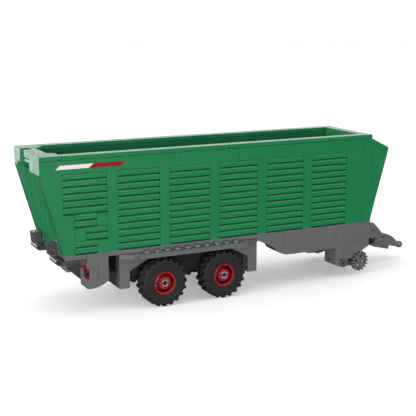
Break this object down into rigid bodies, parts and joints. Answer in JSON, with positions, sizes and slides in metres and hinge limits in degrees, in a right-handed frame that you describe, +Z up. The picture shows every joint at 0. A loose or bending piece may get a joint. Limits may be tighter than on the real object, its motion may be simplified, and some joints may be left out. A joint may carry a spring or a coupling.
{
  "type": "toy forage and grain wagon",
  "caption": "Toy brick-built forage and grain wagon with slatted open-top body, top-hung tailgate, tandem wheels, pickup wheels and ball-ended drawbar.",
  "frame": {"origin": "on the ground under the middle of the part's bounding box", "axes": "+X forwards to the drawbar, +Z up, the marked side faces -Y"},
  "size_m": [0.3302, 0.0802, 0.1142],
  "materials": {
    "green_plastic": "moulded, satin sheen",
    "grey_plastic": "moulded, satin sheen",
    "darkgrey_plastic": "moulded, satin sheen",
    "dark_plastic": "moulded, satin sheen",
    "pale_plastic": "moulded, satin sheen",
    "rim_red": "moulded, satin sheen",
    "light_red": "printed tile, glossy",
    "white_print": "thin sticker",
    "red_print": "thin sticker",
    "tyre": "matt rubber"
  },
  "bodies": {
    "chassis": {"slats_near": "green_plastic", "slats_far": "green_plastic", "small_bricks": "green_plastic", "posts_tall": "green_plastic", "steep_slopes": "green_plastic", "front_bricks": "green_plastic", "front_panels": "green_plastic", "front_wall": "green_plastic", "top_course": "green_plastic", "corner_plates": "green_plastic", "front_top_slopes": "green_plastic", "rail_tiles": "green_plastic", "rail_corners": "green_plastic", "rear_sill": "green_plastic", "marking_white": "white_print", "marking_red": "red_print", "rail_rear": "green_plastic", "hinge_blocks": "green_plastic", "hinge_beam": "green_plastic", "floor_plates": "grey_plastic", "chassis_plates": "grey_plastic", "chassis_bricks": "grey_plastic", "chassis_curves": "grey_plastic", "cross_walls": "dark_plastic", "side_frames": "dark_plastic", "axle_bricks": "dark_plastic", "shelf_plates": "grey_plastic", "wedge_plates": "grey_plastic", "arch_slopes": "grey_plastic", "wide_slopes": "grey_plastic", "pillars": "grey_plastic", "reflectors": "light_red", "tail_knuckles": "darkgrey_plastic", "wheel_pins": "pale_plastic", "pickup_beams": "grey_plastic", "pickup_pins": "grey_plastic", "hitch_slopes": "grey_plastic", "hitch_brick": "grey_plastic", "hitch_ears": "dark_plastic", "hinge_pins": "dark_plastic"},
    "tailgate": {"gate_head": "green_plastic", "gate_panel": "green_plastic", "gate_ribs": "green_plastic"},
    "wheel_rear_near": {"tyre_near_rear": "tyre", "rim_near_rear": "rim_red"},
    "wheel_front_near": {"tyre_near_front": "tyre", "rim_near_front": "rim_red"},
    "wheel_rear_far": {"tyre_far_rear": "tyre", "rim_far_rear": "rim_red"},
    "wheel_front_far": {"tyre_far_front": "tyre", "rim_far_front": "rim_red"},
    "pickup_reel": {"reel_wheels": "grey_plastic", "reel_axle": "grey_plastic"},
    "drawbar": {"bar_plate": "grey_plastic", "bar_curve": "grey_plastic", "bar_tongue": "dark_plastic", "coupling": "grey_plastic"},
    "tail_box_near": {"tail_box_near": "darkgrey_plastic"},
    "tail_box_far": {"tail_box_far": "darkgrey_plastic"}
  },
  "joints": [
    {"name": "spin_rear_near", "type": "hinge", "parent": "chassis", "child": "wheel_rear_near", "pos_m": [-0.07717, -0.0332, 0.0176], "axis": [0, 1, 0], "continuous": true},
    {"name": "spin_front_near", "type": "hinge", "parent": "chassis", "child": "wheel_front_near", "pos_m": [-0.02917, -0.0332, 0.0176], "axis": [0, 1, 0], "continuous": true},
    {"name": "spin_rear_far", "type": "hinge", "parent": "chassis", "child": "wheel_rear_far", "pos_m": [-0.07717, 0.0332, 0.0176], "axis": [0, 1, 0], "continuous": true},
    {"name": "spin_front_far", "type": "hinge", "parent": "chassis", "child": "wheel_front_far", "pos_m": [-0.02917, 0.0332, 0.0176], "axis": [0, 1, 0], "continuous": true},
    {"name": "pickup_spin", "type": "hinge", "parent": "chassis", "child": "pickup_reel", "pos_m": [0.09883, 0, 0.0112], "axis": [0, 1, 0], "continuous": true},
    {"name": "tailgate_hinge", "type": "hinge", "parent": "chassis", "child": "tailgate", "pos_m": [-0.16157, 0, 0.10671], "axis": [0, 1, 0], "range_deg": [0, 80]},
    {"name": "tail_box_hinge_near", "type": "hinge", "parent": "chassis", "child": "tail_box_near", "pos_m": [-0.15337, -0.024, 0.04009], "axis": [0, -1, 0], "range_deg": [0, 60]},
    {"name": "tail_box_hinge_far", "type": "hinge", "parent": "chassis", "child": "tail_box_far", "pos_m": [-0.15337, 0.024, 0.04009], "axis": [0, -1, 0], "range_deg": [0, 60]},
    {"name": "drawbar_hinge", "type": "hinge", "parent": "chassis", "child": "drawbar", "pos_m": [0.12523, 0, 0.01948], "axis": [0, 1, 0], "range_deg": [-9, 9]}
  ]
}
